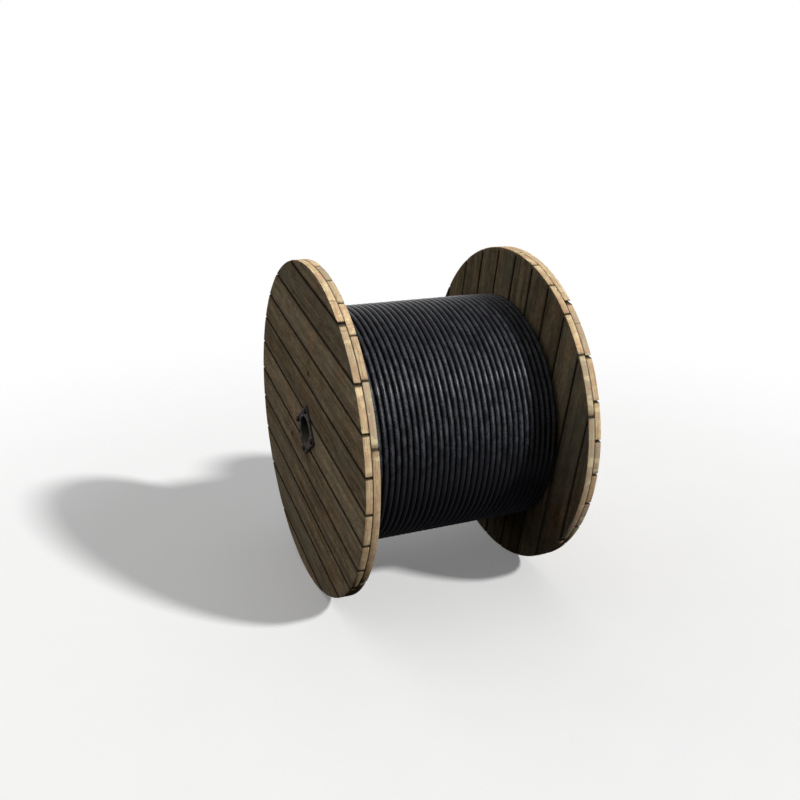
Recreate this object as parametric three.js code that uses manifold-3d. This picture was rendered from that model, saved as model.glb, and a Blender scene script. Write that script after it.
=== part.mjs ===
// Wooden cable drum: two flanges of crossed boards on a staved barrel, wound with black cable.
// Sizes are in millimetres. The drum stands on its rims with its axis along X and Z pointing up.
// Each piece is shaped in the drum's own frame, whose Z runs along the axis from left to right.

import * as THREE from 'three';
import { mergeVertices } from 'three/addons/utils/BufferGeometryUtils.js';
import Module from 'manifold-3d';

const wasm = await Module();
wasm.setup();

// Clearances and the overrun of every cut
const fitGap = 0.3;
const cutOverrun = 10;

// Flanges: two layers of boards laid across each other, cut to one round
const flangeDiameter = 1250;
const rimFacets = 96;
const boardThickness = 25;
const boardGap = 6;
const narrowestBoard = 20;
const grainTilt = THREE.MathUtils.degToRad(13.2);
const traverse = 767;

// Arbor: a steel tube between two hub plates
const arborBore = 104;
const arborTubeWall = 3;
const woodBesideArbor = 4.2;
const roundFacets = 48;

// Hub plates: their corners lie along and across the boards, and a tie bolt sits midway from bore to corner
const hubPlateSide = 150;
const hubPlateThickness = 6;
const hubPlateCornerRadius = 8;
const hubPlateCornerSteps = 3;

// Tie bolts and nuts
const boltDiameter = 12;
const boltHeadAcrossFlats = 18;
const boltHeadHeight = 7.5;
const nutAcrossFlats = 18;
const nutHeight = 10.8;
const threadBeyondNut = 4;
const boltFacets = 12;
const hexagonSides = 6;

// Barrel: staves on two discs
const barrelDiameter = 760;
const staveCount = 28;
const staveThickness = 30;
const staveChamfer = 4;
const barrelDiscThickness = 25;

// Cable: plain inner layers under one wound outer layer
const cableDiameter = 22;
const cableLayers = 3;
const windingTurns = 24;
const windingSteps = 24;
const windingSides = 6;
const windingEndGap = 0.5;
const windingStart = THREE.MathUtils.degToRad(-20);
const risePerStepShares = [0, 0.35, 1.6];

// Sizes that follow
const flangeRadius = flangeDiameter / 2;
const facetAngle = (2 * Math.PI) / rimFacets;
const axisHeight = flangeRadius * Math.cos(facetAngle / 2);
const arborTubeRadius = arborBore / 2 + arborTubeWall;
const arborHoleRadius = arborTubeRadius + fitGap;
const boardWidth = 2 * (arborHoleRadius + woodBesideArbor);
const boardPitch = boardWidth + boardGap;
const boardsPerHalf = Math.floor((flangeRadius + boardWidth / 2 - narrowestBoard) / boardPitch);
const flangeThickness = 2 * boardThickness + fitGap;
const flangeOuterFace = traverse / 2 + flangeThickness;
const hubPlateInnerFace = flangeOuterFace + fitGap;
const hubPlateOuterFace = hubPlateInnerFace + hubPlateThickness;
const fastenerSeat = hubPlateOuterFace + fitGap;
const boltRadius = boltDiameter / 2;
const boltHoleRadius = boltRadius + fitGap;
const hubPlateCornerReach = Math.SQRT2 * (hubPlateSide / 2 - hubPlateCornerRadius) + hubPlateCornerRadius;
const boltCircleRadius = (arborHoleRadius + hubPlateCornerReach) / 2;
const boltHeadReach = fastenerSeat + boltHeadHeight;
const boltThreadReach = fastenerSeat + nutHeight + threadBeyondNut;
const staveAngle = (2 * Math.PI) / staveCount;
const barrelRadius = barrelDiameter / 2;
const staveFlatRadius = barrelRadius * Math.cos(staveAngle / 2);
const staveInnerFlatRadius = staveFlatRadius - staveThickness;
const barrelLength = traverse - 2 * fitGap;
const cableRadius = cableDiameter / 2;
const windingRadius = barrelRadius + cableLayers * cableDiameter - cableRadius;
const windingStepAngle = (2 * Math.PI) / windingSteps;
const coreRadius = (windingRadius - cableRadius) * Math.cos(windingStepAngle / 2) - fitGap;
const windingReach = traverse / 2 - windingEndGap - cableRadius;
const boltAngles = [0, 1, 2, 3].map((quarter) => grainTilt + (quarter * Math.PI) / 2);

// Materials
const wood = (shade) => new THREE.MeshStandardMaterial({ color: shade, roughness: 0.85, metalness: 0 });
const steel = () => new THREE.MeshStandardMaterial({ color: 0x55565a, roughness: 0.5, metalness: 0.9 });
const sheath = () => new THREE.MeshStandardMaterial({ color: 0x17181a, roughness: 0.45, metalness: 0 });
const flangeShade = 0x8a6a48;
const barrelShade = 0x9a7a55;

// The drum's frame: its Z along world X, its X along world Y and its Y up
const drum = new THREE.Group();
drum.matrixAutoUpdate = false;
drum.matrix.makeBasis(
  new THREE.Vector3(0, 1, 0),
  new THREE.Vector3(0, 0, 1),
  new THREE.Vector3(1, 0, 0),
);
drum.matrix.setPosition((boltHeadReach - boltThreadReach) / 2, 0, axisHeight);

function addPiece(name, geometry, material) {
  const mesh = new THREE.Mesh(geometry, material);
  mesh.name = name;
  drum.add(mesh);
}

// Solids for cuts and joins
function solidOf(geometry) {
  const bare = geometry.clone();
  bare.deleteAttribute('normal');
  bare.deleteAttribute('uv');
  const merged = mergeVertices(bare);
  return new wasm.Manifold(new wasm.Mesh({
    numProp: 3,
    vertProperties: merged.attributes.position.array,
    triVerts: Uint32Array.from(merged.index.array),
  }));
}

function geometryOf(solid) {
  const mesh = solid.getMesh();
  const geometry = new THREE.BufferGeometry();
  geometry.setAttribute('position', new THREE.BufferAttribute(mesh.vertProperties, mesh.numProp));
  geometry.setIndex(new THREE.BufferAttribute(mesh.triVerts, 1));
  geometry.computeVertexNormals();
  return geometry;
}

// Outlines in the plane across the axis
function polygonPoints(radius, count, firstAngle) {
  const points = [];
  for (let corner = 0; corner < count; corner += 1) {
    const angle = firstAngle + (corner * 2 * Math.PI) / count;
    points.push(new THREE.Vector2(radius * Math.cos(angle), radius * Math.sin(angle)));
  }
  return points;
}

function movedPoints(points, x, y) {
  return points.map((point) => new THREE.Vector2(point.x + x, point.y + y));
}

function slab(outline, holes, thickness, middle) {
  const shape = new THREE.Shape(outline);
  holes.forEach((hole) => shape.holes.push(new THREE.Path(hole)));
  const geometry = new THREE.ExtrudeGeometry(shape, { depth: thickness, bevelEnabled: false });
  geometry.translate(0, 0, middle - thickness / 2);
  return geometry;
}

function boltHoleOutlines() {
  return boltAngles.map((angle) => movedPoints(
    polygonPoints(boltHoleRadius, boltFacets, 0),
    boltCircleRadius * Math.cos(angle),
    boltCircleRadius * Math.sin(angle),
  ));
}

// Flange boards: strips across the round, drilled for the arbor tube and the tie bolts
function flangeRound(middle) {
  return solidOf(slab(polygonPoints(flangeRadius, rimFacets, facetAngle / 2), [], boardThickness, middle));
}

function flangeDrills(middle) {
  const length = boardThickness + 2 * cutOverrun;
  const outlines = [polygonPoints(arborHoleRadius, roundFacets, 0), ...boltHoleOutlines()];
  return outlines.map((outline) => solidOf(slab(outline, [], length, middle)));
}

function boardStrip(place, angle, middle) {
  const last = Math.abs(place) === boardsPerHalf;
  const inner = Math.abs(place) * boardPitch - boardWidth / 2;
  const outer = last ? flangeRadius + cutOverrun : inner + boardWidth;
  const width = outer - inner;
  const strip = new THREE.BoxGeometry(flangeDiameter + cutOverrun, width, boardThickness + cutOverrun);
  strip.translate(0, Math.sign(place) * (inner + width / 2), middle);
  strip.rotateZ(angle);
  return solidOf(strip);
}

// A board's name counts outward from the centre board, to the side of the drum that it lies on
function boardName(layer, place, sides) {
  if (place === 0) return `${layer}_board_centre`;
  return `${layer}_board_${place < 0 ? sides[0] : sides[1]}_${Math.abs(place)}`;
}

function addBoardLayer(name, angle, middle, sides) {
  const round = flangeRound(middle);
  const drills = flangeDrills(middle);
  for (let place = -boardsPerHalf; place <= boardsPerHalf; place += 1) {
    const strip = boardStrip(place, angle, middle);
    const board = drills.reduce((cut, drill) => cut.subtract(drill), round.intersect(strip));
    addPiece(boardName(name, place, sides), geometryOf(board), wood(flangeShade));
  }
}

function addFlange(side, sign) {
  const innerMiddle = sign * (traverse / 2 + boardThickness / 2);
  const outerMiddle = sign * (flangeOuterFace - boardThickness / 2);
  addBoardLayer(`${side}_outer`, grainTilt, outerMiddle, ['lower', 'upper']);
  addBoardLayer(`${side}_inner`, grainTilt + Math.PI / 2, innerMiddle, ['back', 'front']);
}

// Barrel: a ring of staves with chamfered joints, nailed round two discs
function staveOutline() {
  const halfWidth = barrelRadius * Math.sin(staveAngle / 2);
  const jointRadius = barrelRadius - staveChamfer;
  const points = [];
  for (let stave = 0; stave < staveCount; stave += 1) {
    const corners = [
      new THREE.Vector2(staveFlatRadius, staveChamfer - halfWidth),
      new THREE.Vector2(staveFlatRadius, halfWidth - staveChamfer),
      new THREE.Vector2(jointRadius * Math.cos(staveAngle / 2), jointRadius * Math.sin(staveAngle / 2)),
    ];
    points.push(...corners.map((corner) => corner.rotateAround(new THREE.Vector2(), stave * staveAngle)));
  }
  return points;
}

function addBarrel() {
  const inside = polygonPoints(staveInnerFlatRadius / Math.cos(staveAngle / 2), staveCount, staveAngle / 2);
  addPiece('barrel_staves', slab(staveOutline(), [inside], barrelLength, 0), wood(barrelShade));
  const disc = polygonPoints(staveInnerFlatRadius - fitGap, roundFacets, 0);
  const holes = [polygonPoints(arborHoleRadius, roundFacets, 0), ...boltHoleOutlines()];
  const middle = barrelLength / 2 - barrelDiscThickness / 2;
  addPiece('left_barrel_disc', slab(disc, holes, barrelDiscThickness, -middle), wood(barrelShade));
  addPiece('right_barrel_disc', slab(disc, holes, barrelDiscThickness, middle), wood(barrelShade));
}

// Arbor tube, from the back of one hub plate to the back of the other
function addArborTube() {
  const outline = polygonPoints(arborTubeRadius, roundFacets, 0);
  const bore = polygonPoints(arborBore / 2, roundFacets, 0);
  addPiece('arbor_tube', slab(outline, [bore], 2 * flangeOuterFace, 0), steel());
}

// Hub plates with rounded corners, the arbor's bore and a bolt hole in each corner
function hubPlateOutline() {
  const half = hubPlateSide / 2;
  const round = hubPlateCornerRadius;
  const shape = new THREE.Shape();
  shape.moveTo(half, round - half);
  shape.lineTo(half, half - round);
  shape.absarc(half - round, half - round, round, 0, Math.PI / 2);
  shape.lineTo(round - half, half);
  shape.absarc(round - half, half - round, round, Math.PI / 2, Math.PI);
  shape.lineTo(-half, round - half);
  shape.absarc(round - half, round - half, round, Math.PI, 1.5 * Math.PI);
  shape.lineTo(half - round, -half);
  shape.absarc(half - round, round - half, round, -Math.PI / 2, 0);
  const turn = grainTilt + Math.PI / 4;
  const points = shape.getPoints(hubPlateCornerSteps).slice(0, -1);
  return points.map((point) => point.rotateAround(new THREE.Vector2(), turn));
}

function addHubPlate(side, sign) {
  const holes = [polygonPoints(arborBore / 2, roundFacets, 0), ...boltHoleOutlines()];
  const middle = sign * (hubPlateInnerFace + hubPlateThickness / 2);
  addPiece(`${side}_hub_plate`, slab(hubPlateOutline(), holes, hubPlateThickness, middle), steel());
}

// Tie bolts: hexagon heads on the left hub plate and nuts on the right one
function hexagonPoints(acrossFlats) {
  return polygonPoints(acrossFlats / 2 / Math.cos(Math.PI / hexagonSides), hexagonSides, grainTilt);
}

function addTieBolt(number, angle) {
  const x = boltCircleRadius * Math.cos(angle);
  const y = boltCircleRadius * Math.sin(angle);
  const headMiddle = -fastenerSeat - boltHeadHeight / 2;
  const head = slab(movedPoints(hexagonPoints(boltHeadAcrossFlats), x, y), [], boltHeadHeight, headMiddle);
  const shankLength = boltThreadReach - headMiddle;
  const round = movedPoints(polygonPoints(boltRadius, boltFacets, 0), x, y);
  const shank = slab(round, [], shankLength, headMiddle + shankLength / 2);
  addPiece(`tie_bolt_${number}`, geometryOf(solidOf(head).add(solidOf(shank))), steel());
  const nutMiddle = fastenerSeat + nutHeight / 2;
  const hole = movedPoints(polygonPoints(boltHoleRadius, boltFacets, 0), x, y);
  const nut = slab(movedPoints(hexagonPoints(nutAcrossFlats), x, y), [hole], nutHeight, nutMiddle);
  addPiece(`tie_nut_${number}`, nut, steel());
}

// A tube through rings of points, each ring across the cable at one place on its route
function tubeThrough(places) {
  const positions = [];
  const faces = [];
  places.forEach(({ centre, radial, axial }) => {
    for (let side = 0; side < windingSides; side += 1) {
      const angle = (side * 2 * Math.PI) / windingSides;
      const point = centre.clone();
      point.addScaledVector(radial, cableRadius * Math.cos(angle));
      point.addScaledVector(axial, cableRadius * Math.sin(angle));
      positions.push(point.x, point.y, point.z);
    }
  });
  const lastRing = (places.length - 1) * windingSides;
  for (let ring = 0; ring < lastRing; ring += windingSides) {
    for (let side = 0; side < windingSides; side += 1) {
      const next = (side + 1) % windingSides;
      faces.push(ring + side, ring + next, ring + windingSides + side);
      faces.push(ring + next, ring + windingSides + next, ring + windingSides + side);
    }
  }
  for (let side = 1; side < windingSides - 1; side += 1) {
    faces.push(0, side + 1, side);
    faces.push(lastRing, lastRing + side, lastRing + side + 1);
  }
  const geometry = new THREE.BufferGeometry();
  geometry.setAttribute('position', new THREE.Float32BufferAttribute(positions, 3));
  geometry.setIndex(faces);
  geometry.computeVertexNormals();
  return geometry;
}

function cablePlace(angle, radius, along, tangentRun) {
  const radial = new THREE.Vector3(Math.cos(angle), Math.sin(angle), 0);
  const tangent = new THREE.Vector3(-Math.sin(angle), Math.cos(angle), 0);
  const centre = radial.clone().multiplyScalar(radius).addScaledVector(tangent, tangentRun);
  centre.z = along;
  return { centre, radial, axial: new THREE.Vector3(0, 0, -1) };
}

// Outer layer: one cable from the left flange to the right one, straight at both ends
function windingPlaces() {
  const steps = windingTurns * windingSteps;
  const places = [cablePlace(windingStart, windingRadius, -windingReach, -cableDiameter)];
  for (let step = 0; step <= steps; step += 1) {
    const along = windingReach * ((2 * step) / steps - 1);
    places.push(cablePlace(windingStart + step * windingStepAngle, windingRadius, along, 0));
  }
  places.push(cablePlace(windingStart, windingRadius, windingReach, cableDiameter));
  return places;
}

function leastGapToItself(places) {
  let least = Infinity;
  for (let first = 0; first < places.length; first += 1) {
    for (let second = first + windingSteps / 2; second < places.length; second += 1) {
      least = Math.min(least, places[first].centre.distanceTo(places[second].centre));
    }
  }
  return least - cableDiameter;
}

// The cable's climb from the inner layers, which the outer layer's first end meets
function risePlaces() {
  const meeting = cablePlace(windingStart, windingRadius, -windingReach, -cableDiameter - fitGap);
  const rises = risePerStepShares.map((share, step) => cablePlace(
    windingStart - (step + 1) * (windingStepAngle / 2),
    windingRadius - share * cableDiameter,
    -windingReach,
    0,
  ));
  return [meeting, ...rises].reverse();
}

function addCable() {
  const outline = polygonPoints(coreRadius, rimFacets, facetAngle / 2);
  const inside = polygonPoints(barrelRadius + fitGap, staveCount, staveAngle / 2);
  const core = solidOf(slab(outline, [inside], barrelLength, 0)).add(solidOf(tubeThrough(risePlaces())));
  addPiece('cable_core', geometryOf(core), sheath());
  const places = windingPlaces();
  addPiece('cable_winding', tubeThrough(places), sheath());
  console.log(`cable_winding least gap to itself: ${leastGapToItself(places).toFixed(2)} mm`);
}

addFlange('left', -1);
addFlange('right', 1);
addBarrel();
addArborTube();
addHubPlate('left', -1);
addHubPlate('right', 1);
boltAngles.forEach((angle, index) => addTieBolt(index + 1, angle));
addCable();

const cableDrum = new THREE.Group();
cableDrum.add(drum);

export default cableDrum;
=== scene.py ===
import math
import random

import bmesh
import bpy
from mathutils import Matrix, Vector, noise


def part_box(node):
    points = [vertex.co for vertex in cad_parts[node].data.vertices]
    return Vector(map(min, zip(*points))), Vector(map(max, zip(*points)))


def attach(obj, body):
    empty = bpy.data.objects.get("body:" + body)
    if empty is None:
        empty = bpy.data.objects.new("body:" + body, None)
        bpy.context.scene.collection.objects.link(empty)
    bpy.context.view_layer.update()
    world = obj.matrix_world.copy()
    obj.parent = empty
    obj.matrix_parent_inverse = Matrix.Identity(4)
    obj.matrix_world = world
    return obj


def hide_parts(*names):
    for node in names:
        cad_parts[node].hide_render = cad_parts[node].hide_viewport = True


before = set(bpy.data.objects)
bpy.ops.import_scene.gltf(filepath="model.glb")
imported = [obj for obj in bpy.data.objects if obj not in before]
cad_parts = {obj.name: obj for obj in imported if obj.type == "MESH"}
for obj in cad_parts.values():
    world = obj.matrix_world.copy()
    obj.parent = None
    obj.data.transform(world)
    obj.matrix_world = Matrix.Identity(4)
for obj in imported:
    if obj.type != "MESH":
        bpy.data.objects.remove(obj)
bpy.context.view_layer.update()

# Places of the drum, read from the frame; it stands on the floor, so its axis is one rim radius up
BORE_LOW, BORE_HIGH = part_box("arbor_tube")
STAVES_LOW, STAVES_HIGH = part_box("barrel_staves")
CENTRE = (BORE_LOW + BORE_HIGH) / 2
RIM_RADIUS = CENTRE.z
GRAIN_TILT = math.radians(13.2)
AXIS = Vector((1, 0, 0))
FULL_TURN = 2 * math.pi

# Camera of the photograph, its place in flange radii from the drum's centre
FLANGE_RADIUS = 0.625
CAMERA_PLACE = Vector((-2.0946504, -4.7635191, 1.80485077))
CAMERA_FORWARD = Vector((0.36853716, 0.87574091, -0.3118625))
CAMERA_LENS = 39.72
CAMERA_SENSOR = 36.0

# Light: one sun, and a world that is brightest towards one point of the sky
KEY_TOWARD = Vector((0.50, -0.58, 0.64))
KEY_STRENGTH = 3.3
KEY_ANGLE = math.radians(5.5)
FILL_TOWARD = Vector((-0.25, 0.35, 0.90)).normalized()
FILL_FALLOFF = 2.0
AMBIENT_LOW = 0.01
AMBIENT_HIGH = 0.88

# Floor: how far it reaches, how much light it throws back, and where it runs out into white
FLOOR_REACH = 14.0
FLOOR_BOUNCE = 0.015
FLOOR_GLOW = 0.16
FADE_START = 1.3
FADE_END = 4.0

# Boards of the flanges, in rows across and columns along their grain
BOARD_ROWS = 10
BOARD_COLUMNS = 56
BOARD_BEVEL = 0.0020
BOARD_SEED = 100
ROUND_LIMIT = math.radians(88.5)
NEAR_RIM_SHARE = 0.98
RIM_RECESS = 0.0009

# Unevenness of the boards: how deep it goes, and how many waves to the metre
EDGE_WANDER = 0.0005
FACE_WANDER = 0.0004
FACE_CUP = 0.0005
NOISE_ROOM = 90
WAVES_ALONG = 5
WAVES_ACROSS = 22
EDGE_WAVES = 7
FACE_SHIFT = 3
EDGE_SHIFT = 40

# Where a board's pith lies, and how its brightness, warmth and weathering vary
PITH_ACROSS = 0.05
PITH_AWAY = (0.02, 0.11)
PITH_LEAN = 0.025
TONE_RANGE = (0.76, 1.22)
WARM_RANGE = (0.0, 0.6)
WORN_RANGE = (0.15, 0.6)

# Painted shade on the inner boards, which face the winding, and the more even tone of the sawn rims
INNER_PAINTED_SHADE = 0.88
RIM_TONE = 1.06

# Holes: the bore, the wider one for its tube through the boards, and those of the bolts
BORE_RADIUS = 0.052
TUBE_HOLE = 0.0553
BOLT_HOLE = 0.0063
BOLT_CIRCLE = 0.08098
BOLT_SPOTS = [GRAIN_TILT + quarter * math.pi / 2 for quarter in range(4)]
CUT_LENGTH = 4 * RIM_RADIUS

# Staves and barrel discs
BARREL_RADIUS = 0.380
STAVES = 28
STAVE_CHAMFER = 0.003
STAVE_GAP = 0.0012
STAVE_BEVEL = 0.0008
STAVE_SEED = 300
DISC_PLACES = range(-2, 4)
DISC_BOARD_PITCH = 0.116
DISC_BOARD_GAP = 0.002
DISC_BEVEL = 0.001
DISC_SEED = 400

# Hub plates and arbor tube
PLATE_HALF = 0.075
PLATE_CORNER = 0.008
PLATE_BEVEL = 0.0009
CORNER_STEPS = 8
TUBE_SIDES = 96

# Hexagon of the heads and nuts, and the chamfer on its faces
HEXAGON_FLATS = 0.018
HEAD_HEIGHT = 0.0075
CHAMFER_DEPTH = 0.0015
CHAMFER_SHARE = 0.94
CHAMFER_SLOPE = 1.7
CHAMFER_LEVELS = 5

# Shank and thread of the bolts, with the levels where their radius changes
SHANK_RADIUS = 0.006
SHANK_LEVEL = 0.02
SEAT_BEFORE = 0.0001
SEAT_AFTER = 0.00001
THREAD_PITCH = 0.00175
THREAD_DEPTH = 0.0007
THREAD_LENGTH = 0.022
THREAD_RUN_IN = 0.0005
THREAD_LEVELS = 100

# Cable: its three layers are one length, wound from flange to flange and back
CABLE_RADIUS = 0.011
WINDING_TURNS = 33
WINDING_START = math.radians(-20)
CLIMB = math.radians(35)
LEAST_CLIMB_STEPS = 4
FIT_GAP = 0.0003
END_GAP = 0.0005
TRAVERSE_HALF = (STAVES_HIGH.x - STAVES_LOW.x) / 2 + FIT_GAP
WINDING_REACH = TRAVERSE_HALF - END_GAP - CABLE_RADIUS
LAYER_ANGLE = WINDING_TURNS * FULL_TURN
INNER_STEPS = 60
OUTER_STEPS = 120
INNER_SIDES = 10
OUTER_SIDES = 20

# How the cable strays from an even helix: all turns alike, and each a little by itself
STRAY_SEED = Vector((3.1, 7.7, 1.9))
SWAY = 0.0012
SWAY_WAVES = 2.3
OWN_WAVES = 0.55
OWN_RISE = 0.0004
OWN_SWAY = 0.0001
LAYER_SHIFT = 9.0
FREE_SLOPE = 6

# Cable's end on the right flange, with the levels and width shares of its cap
TAIL_LENGTH = 0.235
TAIL_STEPS = 24
CAP_COVER = 0.055
CAP_PROFILE = [(0.0, 1.03), (0.001, 1.07), (0.004, 1.09), (0.012, 1.09), (0.030, 1.09), (0.054, 1.07),
               (0.058, 1.02), (0.063, 0.86), (0.067, 0.55), (0.0695, 0.12)]

# Staple over the cable's end
STAPLE_BACK = 0.085
STAPLE_WIRE = 0.0022
STAPLE_PLAY = 0.0004
STAPLE_LEG = 0.016
STAPLE_BENDS = 12
STAPLE_SIDES = 12


def rgb(red, green, blue):
    return (red, green, blue, 1.0)


# Early wood, late wood and weathered grey of the timber; the rim's colours are paler than the face's, partly
# as the sawn wood's own colour and partly as painted light on the lit rims
FLANGE_FACE = [rgb(0.505, 0.385, 0.240), rgb(0.210, 0.150, 0.088), rgb(0.345, 0.318, 0.240)]
FLANGE_RIM = [rgb(0.760, 0.580, 0.350), rgb(0.420, 0.285, 0.155), rgb(0.360, 0.320, 0.240)]
BARREL_FACE = [rgb(0.520, 0.390, 0.235), rgb(0.280, 0.185, 0.098), rgb(0.330, 0.290, 0.220)]

# Tints and marks on the timber, with the tint of the painted shade on the inner boards
WARM_TINT = rgb(1.18, 0.86, 0.70)
PAINTED_SHADE_TINT = rgb(0.43, 0.46, 0.46)
KNOT_TINT = rgb(0.60, 0.42, 0.28)
KNOT_DARK = rgb(0.075, 0.045, 0.026)
EDGE_DIRT = rgb(0.060, 0.044, 0.028)
EDGE_DARK = rgb(0.020, 0.015, 0.010)
CRACK_DARK = rgb(0.030, 0.022, 0.014)
SAWN_RED = rgb(0.52, 0.31, 0.20)
SAWN_YELLOW = rgb(0.86, 0.71, 0.41)
SAWN_RUST = rgb(0.62, 0.36, 0.20)
SAWN_STAIN = rgb(0.40, 0.34, 0.24)
JOINT_DARK = rgb(0.070, 0.048, 0.028)

# Steel and the dust in its bore
STEEL_DARK = rgb(0.050, 0.042, 0.044)
STEEL_PALE = rgb(0.120, 0.104, 0.104)
STEEL_RUBBED = rgb(0.210, 0.190, 0.182)
STEEL_RUST = rgb(0.085, 0.046, 0.028)
BORE_DUST = rgb(0.150, 0.134, 0.090)

# Cable sheath
SHEATH_DARK = rgb(0.0050, 0.0054, 0.0074)
SHEATH_PALE = rgb(0.0150, 0.0156, 0.0196)
SHEATH_DUST = rgb(0.075, 0.081, 0.095)
# Pale scuff on the crowns, which also serves as a painted highlight
SHEATH_SCUFF_HIGHLIGHT = rgb(0.190, 0.197, 0.212)
# Painted shade, near black, for the grooves between the turns
SHEATH_GROOVE_SHADE = rgb(0.0020, 0.0020, 0.0024)

# Floor and sky
WHITE = rgb(1, 1, 1)
FLOOR_DARK = rgb(0.80, 0.80, 0.795)
FLOOR_PALE = rgb(0.84, 0.84, 0.835)


def link(data, name):
    """A new object for a mesh, camera or lamp."""
    piece = bpy.data.objects.new(name, data)
    bpy.context.scene.collection.objects.link(piece)
    return piece


def baked(piece):
    """The piece with its modifiers applied."""
    evaluated = piece.evaluated_get(bpy.context.evaluated_depsgraph_get())
    mesh = bpy.data.meshes.new_from_object(evaluated)
    old = piece.data
    piece.modifiers.clear()
    piece.data = mesh
    bpy.data.meshes.remove(old)
    return piece


def soften(piece, angle=35):
    """Smooth shading with sharp edges kept over an angle."""
    piece.data.shade_smooth()
    piece.data.set_sharp_from_angle(angle=math.radians(angle))


def bevel(piece, width):
    """Rounds the piece's sharp edges."""
    modifier = piece.modifiers.new("bevel", "BEVEL")
    modifier.width = width
    modifier.segments = 2
    modifier.limit_method = "ANGLE"
    modifier.angle_limit = math.radians(40)
    modifier.use_clamp_overlap = True


def settle(piece, material, slot, *nodes):
    """Gives a piece its material and body, and hides the nodes that it stands for; the slot is not used."""
    piece.data.materials.clear()
    piece.data.materials.append(material)
    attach(piece, "root")
    if nodes:
        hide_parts(*nodes)


def store(mesh, name, values):
    """Keeps one vector for each vertex under a name that the materials read."""
    attribute = mesh.attributes.new(name, "FLOAT_VECTOR", "POINT")
    attribute.data.foreach_set("vector", [number for value in values for number in value])


def face_outward(mesh, weld=0.0):
    """Merges vertices nearer than the weld and turns the faces out."""
    shape = bmesh.new()
    shape.from_mesh(mesh)
    if weld:
        bmesh.ops.remove_doubles(shape, verts=shape.verts, dist=weld)
    bmesh.ops.recalc_face_normals(shape, faces=shape.faces)
    shape.to_mesh(mesh)
    shape.free()


def mesh_of(name, points, faces):
    """A mesh out of points and faces, with its faces turned out."""
    mesh = bpy.data.meshes.new(name)
    mesh.from_pydata(points, [], faces)
    mesh.validate()
    face_outward(mesh)
    return mesh


class Nodes:
    """The node tree of a material or the world, put together out of short calls."""

    def __init__(self, owner):
        owner.use_nodes = True
        self.owner = owner
        self.tree = owner.node_tree
        self.tree.nodes.clear()

    def put(self, socket, value):
        if isinstance(value, bpy.types.NodeSocket):
            self.tree.links.new(value, socket)
        else:
            socket.default_value = value

    def add(self, kind, inputs=None, **settings):
        node = self.tree.nodes.new(kind)
        for key, value in settings.items():
            setattr(node, key, value)
        for key, value in (inputs or {}).items():
            self.put(node.inputs[key], value)
        return node

    def math(self, operation, *values, clamp=False):
        inputs = dict(enumerate(values))
        return self.add("ShaderNodeMath", inputs, operation=operation, use_clamp=clamp).outputs[0]

    def chain(self, operation, values):
        result = values[0]
        for value in values[1:]:
            result = self.math(operation, result, value)
        return result

    def total(self, *values):
        return self.chain("ADD", values)

    def times(self, *values):
        return self.chain("MULTIPLY", values)

    def greatest(self, *values):
        return self.chain("MAXIMUM", values)

    def less(self, value, other):
        return self.math("SUBTRACT", value, other)

    def vector(self, operation, *values):
        return self.add("ShaderNodeVectorMath", dict(enumerate(values)), operation=operation).outputs

    def shift(self, vector, other):
        return self.vector("ADD", vector, other)[0]

    def grow(self, vector, other):
        return self.vector("MULTIPLY", vector, other)[0]

    def length(self, vector):
        return self.vector("LENGTH", vector)["Value"]

    def split(self, vector):
        return self.add("ShaderNodeSeparateXYZ", {0: vector}).outputs

    def join(self, x, y, z):
        return self.add("ShaderNodeCombineXYZ", {0: x, 1: y, 2: z}).outputs[0]

    def stored(self, name):
        return self.add("ShaderNodeAttribute", attribute_name=name).outputs["Vector"]

    def noise(self, place, scale, detail, roughness):
        inputs = {"Vector": place, "Scale": scale, "Detail": detail, "Roughness": roughness}
        return self.add("ShaderNodeTexNoise", inputs).outputs[0]

    def band(self, value, low, high, start=0.0, end=1.0):
        """Goes smoothly from start to end while the value goes from low to high."""
        inputs = {0: value, 1: low, 2: high, 3: start, 4: end}
        return self.add("ShaderNodeMapRange", inputs, interpolation_type="SMOOTHSTEP").outputs[0]

    def between(self, share, start, end):
        """Goes evenly from start to end while the share goes from 0 to 1."""
        return self.add("ShaderNodeMapRange", {0: share, 3: start, 4: end}).outputs[0]

    def fade(self, value, share, rest):
        """The value, down to this rest of it where the share is 1."""
        return self.times(value, self.band(share, 0.0, 1.0, 1.0, rest))

    def blend(self, factor, first, second, kind="MIX"):
        inputs = {0: factor, 6: first, 7: second}
        return self.add("ShaderNodeMix", inputs, data_type="RGBA", blend_type=kind).outputs[2]

    def background_share(self):
        """1 for the rays that show the background, which are the camera's and those of gloss and glass."""
        seen = self.add("ShaderNodeLightPath").outputs
        return self.greatest(seen["Is Camera Ray"], seen["Is Glossy Ray"], seen["Is Transmission Ray"])

    def shader(self, colour, roughness, height, depth, strength, **sockets):
        """Ends the tree in one surface; further sockets go by Blender's names, with _ for spaces."""
        bump = self.add("ShaderNodeBump", {"Height": height, "Distance": depth, "Strength": strength})
        inputs = {"Base Color": colour, "Roughness": roughness, "Normal": bump.outputs[0]}
        inputs.update({key.replace("_", " "): value for key, value in sockets.items()})
        surface = self.add("ShaderNodeBsdfPrincipled", inputs)
        self.add("ShaderNodeOutputMaterial", {0: surface.outputs[0]})
        return self.owner


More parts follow.
